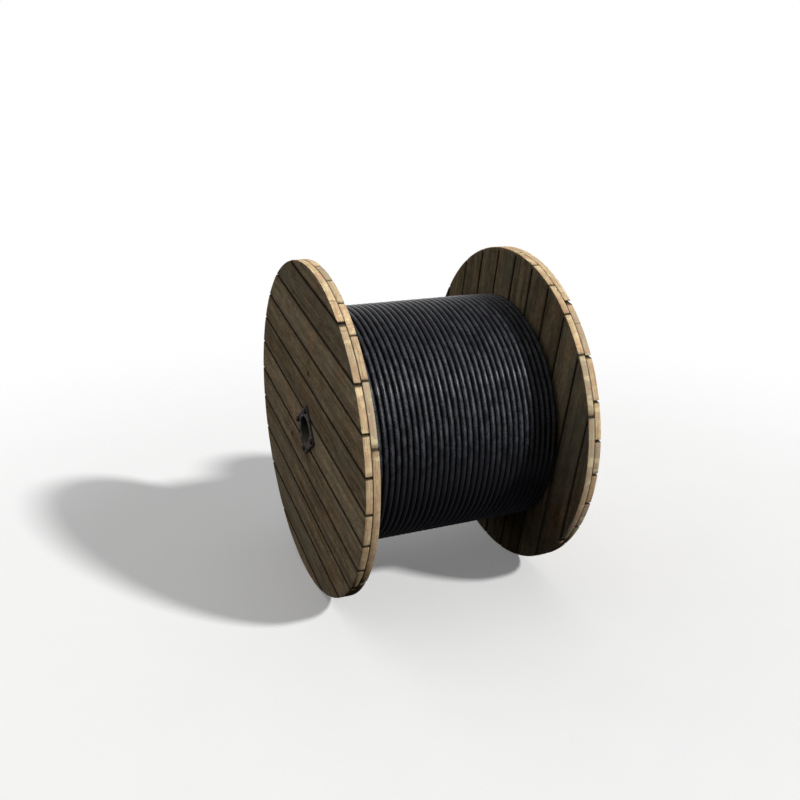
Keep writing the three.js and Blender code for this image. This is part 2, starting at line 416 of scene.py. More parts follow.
class Grain:
    """What a board stores for its material: places in its grain, edges, pith, tone, painted shade and seed.
    """

    def __init__(self, nodes):
        self.nodes = nodes
        self.place = nodes.stored("grain_place")
        self.along, self.across, self.through = nodes.split(self.place)
        self.reach = nodes.length(nodes.join(self.along, self.across, 0.0))
        self.seed = nodes.grow(nodes.stored("board_seed"), (37.0, 53.0, 41.0))
        self.pith_across, self.pith_through, self.pith_lean = nodes.split(nodes.stored("board_pith"))
        self.bright, self.warm, self.worn = nodes.split(nodes.stored("board_tone"))
        self.first_edge, self.last_edge, self.joint_side = nodes.split(nodes.stored("board_edges"))
        self.painted_shade = nodes.split(nodes.stored("board_painted_shade"))[0]

    def noise(self, stretch, detail, roughness=0.5, scale=1.0):
        """Noise stretched along, across and through the board, different on every board."""
        place = self.nodes.shift(self.nodes.grow(self.place, stretch), self.seed)
        return self.nodes.noise(place, scale, detail, roughness)


def knots(nodes, grain):
    """Knots in some of the cells: their round spots, and how far the rings flow round them."""
    cell_scale = 4.6
    flat = nodes.shift(nodes.join(nodes.times(grain.along, 0.82), grain.across, 0.0), grain.seed)
    inputs = {"Vector": flat, "Scale": cell_scale, "Randomness": 0.9}
    cells = nodes.add("ShaderNodeTexVoronoi", inputs, voronoi_dimensions="3D").outputs
    kept = nodes.band(nodes.split(cells["Color"])[0], 0.60, 0.62)
    room = nodes.math("DIVIDE", cells["Distance"], cell_scale)
    spot = nodes.times(nodes.band(room, 0.016, 0.007), kept)
    flow = nodes.times(nodes.band(room, 0.060, 0.004), kept)
    return spot, flow


def late_wood(nodes, grain, knot_flow):
    """The dark part of each growth ring, round a pith that leans and wanders along the board."""
    slow = grain.noise((1.3, 7.0, 7.0), 3.0)
    wander = nodes.times(nodes.less(slow, 0.5), 0.060)
    lean = nodes.times(grain.along, grain.pith_lean)
    ring_across = nodes.total(nodes.less(grain.across, grain.pith_across), lean, wander)
    ring_through = nodes.less(grain.through, grain.pith_through)
    radius = nodes.length(nodes.join(ring_across, ring_through, 0.0))
    radius = nodes.total(radius, nodes.times(knot_flow, 0.020))
    fuzz = grain.noise((9.0, 120.0, 120.0), 2.0)
    phase = nodes.total(nodes.times(radius, 165.0), nodes.times(fuzz, 0.45))
    return nodes.band(nodes.math("FRACT", phase), 0.25, 0.98)


def crack_lines(nodes, grain):
    """Long thin cracks, more of them towards the rim."""
    field = grain.noise((1.9, 150.0, 9.0), 1.0)
    room = nodes.band(grain.reach, 0.30, 0.60, 0.0, 0.045)
    return nodes.band(nodes.total(field, room), 0.735, 0.785)


def edge_soil(nodes, grain, stain):
    """Dirt along a board's edges, and a dark line right at them, which is faint on the boards darkened with
    painted shade.
    """
    first_room = nodes.less(grain.across, grain.first_edge)
    last_room = nodes.less(grain.last_edge, grain.across)
    room = nodes.math("MINIMUM", first_room, last_room)
    dirt = nodes.band(nodes.total(room, nodes.times(stain, 0.008)), 0.014, 0.004)
    dark = nodes.fade(nodes.band(room, 0.0036, 0.0012), grain.painted_shade, 0.30)
    return dirt, dark


def face_colour(nodes, grain, colours, depth, blotch, stain):
    """The colour of a board's face, mottled, then warmed in blotches, greyed, and darkened with painted
    shade on the inner boards.
    """
    pale, deep, grey = colours
    mottle = grain.noise((14.0, 30.0, 30.0), 4.0, 0.65)
    specks = grain.noise((60.0, 150.0, 150.0), 3.0, 0.6)
    colour = nodes.blend(depth, pale, deep)
    mottled = nodes.band(mottle, 0.30, 0.70, 0.76, 1.22)
    shade = nodes.times(mottled, nodes.band(specks, 0.30, 0.62, 0.72, 1.12))
    colour = nodes.blend(1.0, colour, nodes.join(shade, shade, shade), "MULTIPLY")
    warm_share = nodes.times(nodes.band(blotch, 0.50, 0.72), nodes.math("ADD", grain.warm, 0.35, clamp=True))
    colour = nodes.blend(warm_share, colour, WARM_TINT, "MULTIPLY")
    colour = nodes.blend(nodes.times(nodes.band(stain, 0.36, 0.66), grain.worn), colour, grey)
    # Painted shade: the faces of the inner boards, which face the winding between the flanges, are darkened
    # and greyed
    painted_shade_share = nodes.times(grain.painted_shade, nodes.band(stain, 0.30, 0.65, 0.65, 1.0))
    return nodes.blend(painted_shade_share, colour, PAINTED_SHADE_TINT, "MULTIPLY")


def rim_colour(nodes, grain, colours, depth, blotch, stain):
    """The colour of the sawn rim, paler and more patched, with a dark line where the two layers meet; its
    paleness is partly the sawn wood's own and partly painted light.
    """
    pale, deep, grey = colours
    lines = grain.noise((9.0, 9.0, 260.0), 3.0, 0.6)
    fleck = grain.noise((38.0, 38.0, 90.0), 3.0, 0.6)
    patch = grain.noise((30.0, 30.0, 16.0), 3.0, 0.6)
    dark = nodes.total(nodes.band(lines, 0.34, 0.66, 0.0, 0.70), nodes.band(fleck, 0.42, 0.72, 0.0, 0.45),
                       nodes.times(depth, 0.12))
    colour = nodes.blend(dark, pale, deep)
    colour = nodes.blend(nodes.times(nodes.band(grain.worn, 0.35, 0.60), 0.55), colour, grey)
    colour = nodes.blend(nodes.band(patch, 0.51, 0.66, 0.0, 0.60), colour, SAWN_RED)
    colour = nodes.blend(nodes.band(patch, 0.47, 0.32, 0.0, 0.60), colour, SAWN_YELLOW)
    colour = nodes.blend(nodes.band(blotch, 0.52, 0.70, 0.0, 0.55), colour, SAWN_RUST)
    colour = nodes.blend(nodes.band(stain, 0.55, 0.78, 0.0, 0.55), colour, SAWN_STAIN)
    joint = nodes.band(nodes.times(grain.through, grain.joint_side), 0.0088, 0.0122)
    return nodes.blend(nodes.times(joint, 0.70), colour, JOINT_DARK)


def timber(name, face_colours, rim_colours=None):
    """Weathered softwood with growth rings, knots, fibre, cracks and dirt, with painted shade on the inner
    boards, and paler where a rim was sawn, partly as painted light.
    """
    nodes = Nodes(bpy.data.materials.new(name))
    grain = Grain(nodes)
    knot_spot, knot_flow = knots(nodes, grain)
    late = late_wood(nodes, grain, knot_flow)
    cracks = crack_lines(nodes, grain)

    # Streaks, lines and fibre along the grain, and blotches of weathering
    streaks = grain.noise((1.1, 46.0, 46.0), 3.0, 0.6)
    lines = grain.noise((2.6, 150.0, 150.0), 3.0, 0.6)
    fibre = grain.noise((11.0, 420.0, 420.0), 3.0, 0.65)
    blotch = grain.noise((1.0, 1.0, 1.0), 4.0, 0.6, scale=5.5)
    stain = grain.noise((3.0, 11.0, 11.0), 4.0, 0.62)
    shares = nodes.total(nodes.times(late, 0.38), nodes.band(streaks, 0.32, 0.70, 0.0, 0.60),
                         nodes.band(fibre, 0.35, 0.75, 0.0, 0.30), nodes.band(lines, 0.40, 0.66, 0.0, 0.40))
    depth = nodes.math("ADD", shares, -0.26, clamp=True)
    edge_dirt, edge_dark = edge_soil(nodes, grain, stain)
    colour = face_colour(nodes, grain, face_colours, depth, blotch, stain)

    # Rim, where the marks are fainter and the boards more alike
    bright = grain.bright
    if rim_colours:
        rim_place = nodes.total(grain.reach, nodes.times(stain, 0.0012))
        on_rim = nodes.band(rim_place, RIM_RADIUS - 0.0030, RIM_RADIUS - 0.0012)
        # Painted light in part: the rim's own colours are paler than the face's
        colour = nodes.blend(on_rim, colour, rim_colour(nodes, grain, rim_colours, depth, blotch, stain))
        edge_dirt = nodes.fade(edge_dirt, on_rim, 0.12)
        knot_spot = nodes.fade(knot_spot, on_rim, 0.25)
        cracks = nodes.fade(cracks, on_rim, 0.5)
        bright = nodes.total(bright, nodes.times(nodes.less(RIM_TONE, bright), on_rim, 0.60))

    # Knots, dirt and cracks over both
    colour = nodes.blend(nodes.times(knot_flow, 0.25), colour, KNOT_TINT, "MULTIPLY")
    colour = nodes.blend(nodes.times(knot_spot, 0.80), colour, KNOT_DARK)
    colour = nodes.blend(nodes.times(edge_dirt, 0.50), colour, EDGE_DIRT)
    colour = nodes.blend(nodes.times(edge_dark, 0.80), colour, EDGE_DARK)
    colour = nodes.blend(nodes.times(cracks, 0.75), colour, CRACK_DARK)
    colour = nodes.add("ShaderNodeHueSaturation", {"Value": bright, "Color": colour}).outputs[0]

    height = nodes.total(nodes.times(late, 0.35), nodes.times(fibre, 0.75), nodes.times(streaks, 0.35),
                         nodes.times(cracks, -0.9), nodes.times(knot_spot, -0.5))
    roughness = nodes.band(streaks, 0.2, 0.8, 0.88, 0.72)
    return nodes.shader(colour, roughness, height, 0.0009, 0.8, Specular_IOR_Level=0.0)


def weathered_steel(name):
    """Dark oxidised steel with rust bloom and brighter rubbed spots, and with pale dust in the bore."""
    nodes = Nodes(bpy.data.materials.new(name))
    place = nodes.add("ShaderNodeTexCoord").outputs["Object"]
    bloom = nodes.noise(place, 34.0, 5.0, 0.65)
    speckle = nodes.noise(place, 420.0, 3.0, 0.6)
    rub = nodes.noise(nodes.grow(place, (1.0, 3.0, 1.0)), 90.0, 4.0, 0.7)
    rust = nodes.band(nodes.total(bloom, nodes.times(speckle, 0.14)), 0.56, 0.72)
    rubbed = nodes.band(rub, 0.60, 0.74)
    _, away, height_up = nodes.split(place)
    axis_room = nodes.length(nodes.join(away, nodes.less(height_up, CENTRE.z), 0.0))
    in_bore = nodes.band(axis_room, BORE_RADIUS + 0.0010, BORE_RADIUS - 0.0002)
    settled = nodes.times(in_bore, nodes.band(bloom, 0.34, 0.62, 0.45, 0.90))
    colour = nodes.blend(speckle, STEEL_DARK, STEEL_PALE)
    colour = nodes.blend(nodes.times(rubbed, 0.35), colour, STEEL_RUBBED)
    colour = nodes.blend(nodes.times(rust, 0.7), colour, STEEL_RUST)
    colour = nodes.blend(settled, colour, BORE_DUST)
    height = nodes.total(nodes.times(speckle, 0.5), nodes.times(rust, 0.4))
    roughness = nodes.total(0.48, nodes.times(rust, 0.34), nodes.times(bloom, 0.10))
    return nodes.shader(colour, roughness, height, 0.0005, 0.7, Specular_IOR_Level=0.03)


def black_sheath(name):
    """Black polyethylene sheath with settled dust, pale scuffs on the crowns that also paint a highlight,
    painted shade in the grooves and on the top, and a fine grain.
    """
    nodes = Nodes(bpy.data.materials.new(name))
    place = nodes.stored("cable_place")
    grain = nodes.noise(place, 650.0, 3.0, 0.6)
    lumps = nodes.noise(nodes.grow(place, (22.0, 60.0, 60.0)), 1.0, 3.0, 0.55)
    drag = nodes.noise(nodes.grow(place, (7.0, 300.0, 300.0)), 1.0, 3.0, 0.6)
    patches = nodes.noise(nodes.grow(place, (26.0, 40.0, 40.0)), 1.0, 4.0, 0.65)
    specks = nodes.noise(nodes.grow(place, (170.0, 260.0, 260.0)), 1.0, 3.0, 0.6)
    worn_way = nodes.noise(nodes.grow(place, (11.0, 0.0, 0.0)), 1.0, 4.0, 0.6)
    up = nodes.split(nodes.add("ShaderNodeNewGeometry").outputs["Normal"])[2]
    outward = nodes.math("DIVIDE", nodes.split(place)[1], CABLE_RADIUS)
    crown = nodes.band(outward, 0.35, 0.92)

    # Dust lies on the sides that are turned up; its smaller share on the very top is painted shade, which
    # keeps the top dark
    settled = nodes.times(nodes.band(up, -0.35, 0.15), nodes.band(up, 0.50, 0.95, 1.0, 0.30))
    dust = nodes.times(settled, nodes.band(patches, 0.40, 0.66), nodes.band(specks, 0.38, 0.60, 0.15, 1.0))

    # Painted highlight: the crowns of the turns get pale scuffs, partly real wear, strongest in a band on
    # the winding's upper side, where the highlight falls
    highlight_band = nodes.times(nodes.band(up, -0.15, 0.45), nodes.band(up, 0.60, 0.88, 1.0, 0.25))
    scuff_and_highlight = nodes.times(nodes.band(outward, 0.91, 0.995), nodes.band(worn_way, 0.40, 0.62, 0.25, 1.0),
                          nodes.band(specks, 0.36, 0.58, 0.35, 1.0), highlight_band)

    colour = nodes.blend(drag, SHEATH_DARK, SHEATH_PALE)
    colour = nodes.blend(nodes.times(dust, 0.85), colour, SHEATH_DUST)
    # Painted highlight, partly real scuffing, on the crowns
    colour = nodes.blend(nodes.times(scuff_and_highlight, 0.85), colour, SHEATH_SCUFF_HIGHLIGHT)
    # Painted shade: the sides of each turn, down in the grooves, go near black
    colour = nodes.blend(crown, SHEATH_GROOVE_SHADE, colour)
    roughness = nodes.total(nodes.band(lumps, 0.3, 0.7, 0.17, 0.25), nodes.times(dust, 0.04),
                            nodes.band(crown, 0.0, 0.8, 0.45, 0.0), nodes.band(up, 0.05, -0.45, 0.0, 0.70))
    height = nodes.total(nodes.times(grain, 0.05), lumps, nodes.times(specks, 0.10), nodes.times(drag, 0.04))
    return nodes.shader(colour, roughness, height, 0.0009, 1.0, Specular_IOR_Level=0.07)


def floor_finish():
    """A pale floor that keeps the drum's shadow and runs out into white, and that lights the drum little."""
    nodes = Nodes(bpy.data.materials.new("floor_finish"))
    place = nodes.add("ShaderNodeTexCoord").outputs["Object"]
    shown = nodes.background_share()
    pale = nodes.blend(nodes.noise(place, 3.0, 4.0, 0.6), FLOOR_DARK, FLOOR_PALE)
    colour = nodes.blend(shown, rgb(FLOOR_BOUNCE, FLOOR_BOUNCE, FLOOR_BOUNCE), pale)
    matt = nodes.add("ShaderNodeBsdfDiffuse", {"Color": colour}).outputs[0]
    white = nodes.add("ShaderNodeEmission", {"Color": WHITE, "Strength": 1.0}).outputs[0]
    glow = nodes.times(nodes.band(nodes.length(place), FADE_START, FADE_END, FLOOR_GLOW, 1.0), shown)
    mixed = nodes.add("ShaderNodeMixShader", {0: glow, 1: matt, 2: white}).outputs[0]
    nodes.add("ShaderNodeOutputMaterial", {0: mixed})
    return nodes.owner


def camera_of_photo():
    data = bpy.data.cameras.new("photo_camera")
    data.lens = CAMERA_LENS
    data.sensor_width = CAMERA_SENSOR
    camera = link(data, "photo_camera")
    camera.location = CENTRE + CAMERA_PLACE * FLANGE_RADIUS
    camera.rotation_euler = CAMERA_FORWARD.to_track_quat("-Z", "Y").to_euler()
    bpy.context.scene.camera = camera


def studio_floor():
    corners = [(-FLOOR_REACH, -FLOOR_REACH, 0), (FLOOR_REACH, -FLOOR_REACH, 0),
               (FLOOR_REACH, FLOOR_REACH, 0), (-FLOOR_REACH, FLOOR_REACH, 0)]
    floor = link(mesh_of("floor", corners, [(0, 1, 2, 3)]), "floor")
    floor.data.materials.append(floor_finish())


def key_light():
    data = bpy.data.lights.new("key", "SUN")
    data.energy = KEY_STRENGTH
    data.angle = KEY_ANGLE
    key = link(data, "key")
    key.rotation_euler = KEY_TOWARD.to_track_quat("Z", "Y").to_euler()


def studio_world():
    """A world that is white to look at and lights the drum from overhead."""
    nodes = Nodes(bpy.data.worlds.new("studio"))
    bpy.context.scene.world = nodes.owner
    sky_place = nodes.add("ShaderNodeTexCoord").outputs["Generated"]
    towards = nodes.greatest(nodes.vector("DOT_PRODUCT", sky_place, FILL_TOWARD)["Value"], 0.0)
    ambient = nodes.between(nodes.math("POWER", towards, FILL_FALLOFF), AMBIENT_LOW, AMBIENT_HIGH)
    level = nodes.between(nodes.background_share(), ambient, 1.0)
    sky = nodes.add("ShaderNodeBackground", {"Color": WHITE, "Strength": level}).outputs[0]
    nodes.add("ShaderNodeOutputWorld", {0: sky})


def radial(angle):
    """The direction away from the drum's axis at an angle from level."""
    return Vector((0, math.cos(angle), math.sin(angle)))


class Board:
    """The place of a board and its own directions: along its grain, across it, and through its thickness."""

    def __init__(self, origin, along, across):
        self.origin = origin
        self.along = along
        self.across = across
        self.through = along.cross(across)

    def world(self, p, q, w):
        return self.origin + p * self.along + q * self.across + w * self.through

    def local(self, point):
        away = point - self.origin
        return Vector((away.dot(self.along), away.dot(self.across), away.dot(self.through)))


def flat_board(angle, x):
    """A board in the plane across the axis at x, with its grain at an angle from level."""
    across = Vector((0, -math.sin(angle), math.cos(angle)))
    return Board(Vector((x, CENTRE.y, CENTRE.z)), radial(angle), across)


def mark_timber(mesh, board, edges, draw, joint_side=0.0, painted_shade=0.0):
    """Stores a board's grain places, edges and painted shade, and a pith, tone and seed of its own."""
    count = len(mesh.vertices)
    seed = [draw.random() for _ in range(3)]
    side = draw.choice((-1, 1))
    pith = (draw.uniform(-PITH_ACROSS, PITH_ACROSS), side * draw.uniform(*PITH_AWAY),
            draw.uniform(-PITH_LEAN, PITH_LEAN))
    tone = (draw.uniform(*TONE_RANGE), draw.uniform(*WARM_RANGE), draw.uniform(*WORN_RANGE))
    store(mesh, "grain_place", [board.local(vertex.co) for vertex in mesh.vertices])
    store(mesh, "board_seed", [seed] * count)
    store(mesh, "board_pith", [pith] * count)
    store(mesh, "board_tone", [tone] * count)
    store(mesh, "board_edges", [(edges[0], edges[1], joint_side)] * count)
    store(mesh, "board_painted_shade", [(painted_shade, 0.0, 0.0)] * count)


def board_mesh(name, board, edges, radius, thickness, draw):
    """A board of a round: straight sawn sides, ends cut to the round, faces slightly cupped and uneven."""
    low = max(math.asin(max(edges[0] / radius, -1)), -ROUND_LIMIT)
    high = min(math.asin(min(edges[1] / radius, 1)), ROUND_LIMIT)
    seed = Vector([draw.uniform(0, NOISE_ROOM) for _ in range(3)])
    cup = draw.uniform(-1, 1)
    middle = (edges[0] + edges[1]) / 2
    half_width = (edges[1] - edges[0]) / 2
    points = []
    for face in (-1, 1):
        for row in range(BOARD_ROWS + 1):
            angle = low + (high - low) * row / BOARD_ROWS
            for column in range(BOARD_COLUMNS + 1):
                share = 2 * column / BOARD_COLUMNS - 1
                p = share * radius * math.cos(angle)
                q = radius * math.sin(angle)
                bend = cup * ((q - middle) / half_width) ** 2 * face
                waves = Vector((p * WAVES_ALONG, q * WAVES_ACROSS, face * FACE_SHIFT))
                sunk = FACE_WANDER * (noise.noise(waves + seed) + 1) + FACE_CUP * max(bend, 0)
                if row in (0, BOARD_ROWS) and abs(q) < radius * NEAR_RIM_SHARE:
                    inward = 1 if row == 0 else -1
                    waves = Vector((p * EDGE_WAVES, row * EDGE_SHIFT, 0))
                    q += inward * EDGE_WANDER * (noise.noise(waves + seed) + 1)
                points.append(board.world(p, q, face * (thickness / 2 - sunk)))
    columns = BOARD_COLUMNS + 1
    layer = columns * (BOARD_ROWS + 1)
    faces = []
    for row in range(BOARD_ROWS):
        for column in range(BOARD_COLUMNS):
            corner = row * columns + column
            faces.append((corner, corner + columns, corner + columns + 1, corner + 1))
            corner += layer
            faces.append((corner, corner + 1, corner + columns + 1, corner + columns))
    border = list(range(columns))
    border += [row * columns + BOARD_COLUMNS for row in range(1, BOARD_ROWS + 1)]
    border += [BOARD_ROWS * columns + column for column in range(BOARD_COLUMNS - 1, -1, -1)]
    border += [row * columns for row in range(BOARD_ROWS - 1, 0, -1)]
    for first, second in zip(border, border[1:] + border[:1]):
        faces.append((first, second, second + layer, first + layer))
    return mesh_of(name, points, faces)


def cylinder_mesh(name, circles, length, sides=64):
    """Closed cylinders along the drum's axis, each given by its middle and radius."""
    points = []
    faces = []
    for middle, radius in circles:
        start = len(points)
        for end in (-1, 1):
            for side in range(sides):
                outward = radial(FULL_TURN * side / sides)
                points.append(middle + outward * radius + AXIS * (end * length / 2))
        ring = list(range(start, start + sides))
        faces.append(tuple(ring[::-1]))
        faces.append(tuple(corner + sides for corner in ring))
        for side in range(sides):
            following = (side + 1) % sides
            faces.append((ring[side], ring[following], ring[following] + sides, ring[side] + sides))
    return mesh_of(name, points, faces)


def bolt_place(angle):
    return CENTRE + radial(angle) * BOLT_CIRCLE


def hole_cutter(bore):
    """Cylinders where the arbor and the bolts go through."""
    circles = [(CENTRE, bore)] + [(bolt_place(angle), BOLT_HOLE) for angle in BOLT_SPOTS]
    return link(cylinder_mesh("hole_cutter", circles, CUT_LENGTH), "hole_cutter")


def drill(piece, cutter):
    modifier = piece.modifiers.new("drill", "BOOLEAN")
    modifier.operation = "DIFFERENCE"
    modifier.object = cutter
    modifier.solver = "EXACT"


def node_strip(node, board):
    """The range that a board's node covers across its grain."""
    places = [board.local(vertex.co).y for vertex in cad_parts[node].data.vertices]
    return min(places), max(places)


def flange_board(number, node, cutter):
    """A flange board with its own saw marks, cup, colour and grain."""
    draw = random.Random(BOARD_SEED + number)
    low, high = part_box(node)
    angle = GRAIN_TILT if "outer" in node else GRAIN_TILT + math.pi / 2
    board = flat_board(angle, (low.x + high.x) / 2)
    edges = node_strip(node, board)
    ground = -math.cos(angle) * CENTRE.z
    on_floor = edges[0] < ground < edges[1] or "inner" in node
    radius = RIM_RADIUS - (0 if on_floor else draw.uniform(0, RIM_RECESS))
    piece = link(board_mesh(node, board, edges, radius, high.x - low.x, draw), f"{node}_timber")
    bevel(piece, BOARD_BEVEL)
    if edges[0] < BOLT_CIRCLE + BOLT_HOLE and edges[1] > -BOLT_CIRCLE - BOLT_HOLE:
        drill(piece, cutter)
    baked(piece)
    soften(piece)
    joint_side = 1.0 if ("outer" in node) == node.startswith("left") else -1.0
    # Painted shade for the inner boards, which face the winding between the flanges
    painted_shade = INNER_PAINTED_SHADE if "inner" in node else 0.0

    # An edge that lies on the rim collects no dirt, so it is stored as far away
    soiled_low = edges[0] if edges[0] > -radius * NEAR_RIM_SHARE else -2 * radius
    soiled_high = edges[1] if edges[1] < radius * NEAR_RIM_SHARE else 2 * radius
    mark_timber(piece.data, board, (soiled_low, soiled_high), draw, joint_side, painted_shade)
    settle(piece, flange_timber, "flange_wood", node)


def flange_boards():
    cutter = hole_cutter(TUBE_HOLE)
    for number, node in enumerate(sorted(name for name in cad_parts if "_board_" in name)):
        flange_board(number, node, cutter)
    bpy.data.objects.remove(cutter)


def joined(name, pieces):
    """One mesh piece out of several, with what their vertices store."""
    shape = bmesh.new()
    for piece in pieces:
        shape.from_mesh(piece.data)
        bpy.data.objects.remove(piece)
    mesh = bpy.data.meshes.new(name)
    shape.to_mesh(mesh)
    shape.free()
    return link(mesh, name)


def stave(number, outer, inner, length):
    """One stave of the barrel, chamfered where it meets its neighbours."""
    draw = random.Random(STAVE_SEED + number)
    step = FULL_TURN / STAVES
    outward = radial((number + 0.5) * step - math.pi / 2)
    side = outward.cross(AXIS)
    flat_outer = outer * math.cos(step / 2)
    half_outer = outer * math.sin(step / 2) - STAVE_GAP / 2
    half_inner = inner * math.tan(step / 2) - STAVE_GAP / 2
    profile = [(-half_inner, inner), (half_inner, inner), (half_outer, flat_outer - STAVE_CHAMFER),
               (half_outer - STAVE_CHAMFER, flat_outer), (STAVE_CHAMFER - half_outer, flat_outer),
               (-half_outer, flat_outer - STAVE_CHAMFER)]
    points = [CENTRE + AXIS * (end * length / 2) + side * across + outward * rise
              for end in (-1, 1) for across, rise in profile]
    count = len(profile)
    faces = [tuple(range(count)), tuple(range(count, 2 * count))]
    faces += [(corner, (corner + 1) % count, (corner + 1) % count + count, corner + count)
              for corner in range(count)]
    piece = link(mesh_of("stave", points, faces), "stave")
    bevel(piece, STAVE_BEVEL)
    baked(piece)
    mark_timber(piece.data, Board(CENTRE.copy(), AXIS, side), (-half_outer, half_outer), draw)
    return piece


def stave_ring():
    """The staves, each closed in itself, round the barrel."""
    disc_low, disc_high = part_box("left_barrel_disc")
    outer = (STAVES_HIGH.z - STAVES_LOW.z) / 2
    inner = (disc_high.z - disc_low.z) / 2
    length = STAVES_HIGH.x - STAVES_LOW.x
    ring = joined("barrel_stave_ring", [stave(number, outer, inner, length) for number in range(STAVES)])
    soften(ring)
    settle(ring, barrel_timber, "barrel_wood", "barrel_staves")


def barrel_disc(order, side, cutter):
    """A disc of boards that carries the staves' ends."""
    low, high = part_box(f"{side}_barrel_disc")
    radius = (high.z - low.z) / 2
    board = flat_board(GRAIN_TILT, (low.x + high.x) / 2)
    pieces = []
    for place in DISC_PLACES:
        draw = random.Random(DISC_SEED + 10 * order + place)
        first_edge = (place - 1) * DISC_BOARD_PITCH + DISC_BOARD_GAP / 2
        last_edge = place * DISC_BOARD_PITCH - DISC_BOARD_GAP / 2
        edges = (max(first_edge, -radius), min(last_edge, radius))
        piece = link(board_mesh("disc_board", board, edges, radius, high.x - low.x, draw), "disc_board")
        bevel(piece, DISC_BEVEL)
        drill(piece, cutter)
        baked(piece)
        mark_timber(piece.data, board, edges, draw)
        pieces.append(piece)
    disc = joined(f"{side}_barrel_disc_timber", pieces)
    soften(disc)
    settle(disc, barrel_timber, "barrel_wood", f"{side}_barrel_disc")


def barrel():
    """Staves nailed round two boarded discs."""
    stave_ring()
    cutter = hole_cutter(TUBE_HOLE)
    for order, side in enumerate(("left", "right")):
        barrel_disc(order, side, cutter)
    bpy.data.objects.remove(cutter)


def grid_mesh(name, rings, capped=True):
    """A tube through rings of points, closed at both ends."""
    sides = len(rings[0])
    points = [point for ring in rings for point in ring]
    faces = []
    for ring in range(len(rings) - 1):
        for side in range(sides):
            corner = ring * sides + side
            following = ring * sides + (side + 1) % sides
            faces.append((corner, following, following + sides, corner + sides))
    if capped:
        faces.append(tuple(range(sides))[::-1])
        faces.append(tuple(range(len(points) - sides, len(points))))
    return mesh_of(name, points, faces)


def hub_plate(side, cutter):
    """A square plate with rounded corners, drilled for the arbor and the bolts."""
    low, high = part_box(f"{side}_hub_plate")
    place = flat_board(GRAIN_TILT + math.pi / 4, (low.x + high.x) / 2)
    outline = []
    for quarter in range(4):
        turn = quarter * math.pi / 2
        middle = Vector((PLATE_HALF - PLATE_CORNER, PLATE_HALF - PLATE_CORNER))
        middle.rotate(Matrix.Rotation(turn, 2))
        for step in range(CORNER_STEPS + 1):
            angle = turn + step * math.pi / 2 / CORNER_STEPS
            outline.append(middle + PLATE_CORNER * Vector((math.cos(angle), math.sin(angle))))
    thickness = high.x - low.x
    rings = [[place.world(point.x, point.y, face * thickness / 2) for point in outline] for face in (-1, 1)]
    plate = link(grid_mesh(f"{side}_hub_plate_iron", rings), f"{side}_hub_plate_iron")
    drill(plate, cutter)
    bevel(plate, PLATE_BEVEL)
    baked(plate)
    soften(plate, 30)
    settle(plate, steel, "hub_steel", f"{side}_hub_plate")


def arbor_tube():
    """The tube that lines the bore, its wall's section taken round the axis."""
    wall_outer = (BORE_HIGH.z - BORE_LOW.z) / 2
    section = [(wall_outer, BORE_LOW.x), (wall_outer, BORE_HIGH.x),
               (BORE_RADIUS, BORE_HIGH.x), (BORE_RADIUS, BORE_LOW.x)]
    rings = []
    for step in range(TUBE_SIDES):
        outward = radial(FULL_TURN * step / TUBE_SIDES)
        rings.append([Vector((x, CENTRE.y, CENTRE.z)) + outward * radius for radius, x in section])
    rings.append(rings[0])
    mesh = grid_mesh("arbor_tube_iron", rings, capped=False)
    face_outward(mesh, weld=0.00001)
    tube = link(mesh, "arbor_tube_iron")
    soften(tube, 30)
    settle(tube, steel, "hub_steel", "arbor_tube")


def hub_irons():
    """Hub plates, arbor tube, and tie bolts with their nuts."""
    cutter = hole_cutter(BORE_RADIUS)
    for side in ("left", "right"):
        hub_plate(side, cutter)
    bpy.data.objects.remove(cutter)
    arbor_tube()
    for number, angle in enumerate(BOLT_SPOTS, 1):
        tie_bolt(number, angle)
        tie_nut(number, angle)


def turned(name, middle, levels, radius_at, sides=48):
    """A closed form along the axis whose radius follows its angle and level."""
    rings = []
    for x in levels:
        ring = []
        for side in range(sides):
            angle = FULL_TURN * side / sides
            ring.append(Vector((x, middle.y, middle.z)) + radial(angle) * radius_at(angle, x))
        rings.append(ring)
    return grid_mesh(name, rings)


def hexagon_radius(angle, room):
    """Radius of the hexagon, cut to a cone near an end face that lies this room away."""
    sector = math.pi / 3
    flat_side = HEXAGON_FLATS / 2 / math.cos((angle - GRAIN_TILT + sector / 2) % sector - sector / 2)
    return min(flat_side, HEXAGON_FLATS / 2 * CHAMFER_SHARE + room * CHAMFER_SLOPE)


def spread(start, end, count):
    return [start + (end - start) * step / count for step in range(count + 1)]


def tie_bolt(number, angle):
    """Bolt with a chamfered hexagon head at the left and a rolled thread at the right."""
    low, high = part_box(f"tie_bolt_{number}")
    seat = low.x + HEAD_HEIGHT
    thread_start = high.x - THREAD_LENGTH

    def radius_at(turn, x):
        if x <= seat:
            return hexagon_radius(turn, x - low.x)
        if x < thread_start:
            return SHANK_RADIUS
        end_chamfer = SHANK_RADIUS - THREAD_DEPTH + (high.x - x)
        tooth = abs(((x / THREAD_PITCH - turn / FULL_TURN) % 1) * 2 - 1)
        return min(SHANK_RADIUS - THREAD_DEPTH * tooth, end_chamfer)

    levels = spread(low.x, low.x + CHAMFER_DEPTH, CHAMFER_LEVELS)
    levels += [seat - SEAT_BEFORE, seat + SEAT_AFTER, seat + SHANK_LEVEL, thread_start - THREAD_RUN_IN]
    levels += spread(thread_start, high.x, THREAD_LEVELS)
    name = f"tie_bolt_{number}_iron"
    bolt = link(turned(name, bolt_place(angle), levels, radius_at), name)
    soften(bolt, 30)
    settle(bolt, steel, "bolt_steel", f"tie_bolt_{number}")


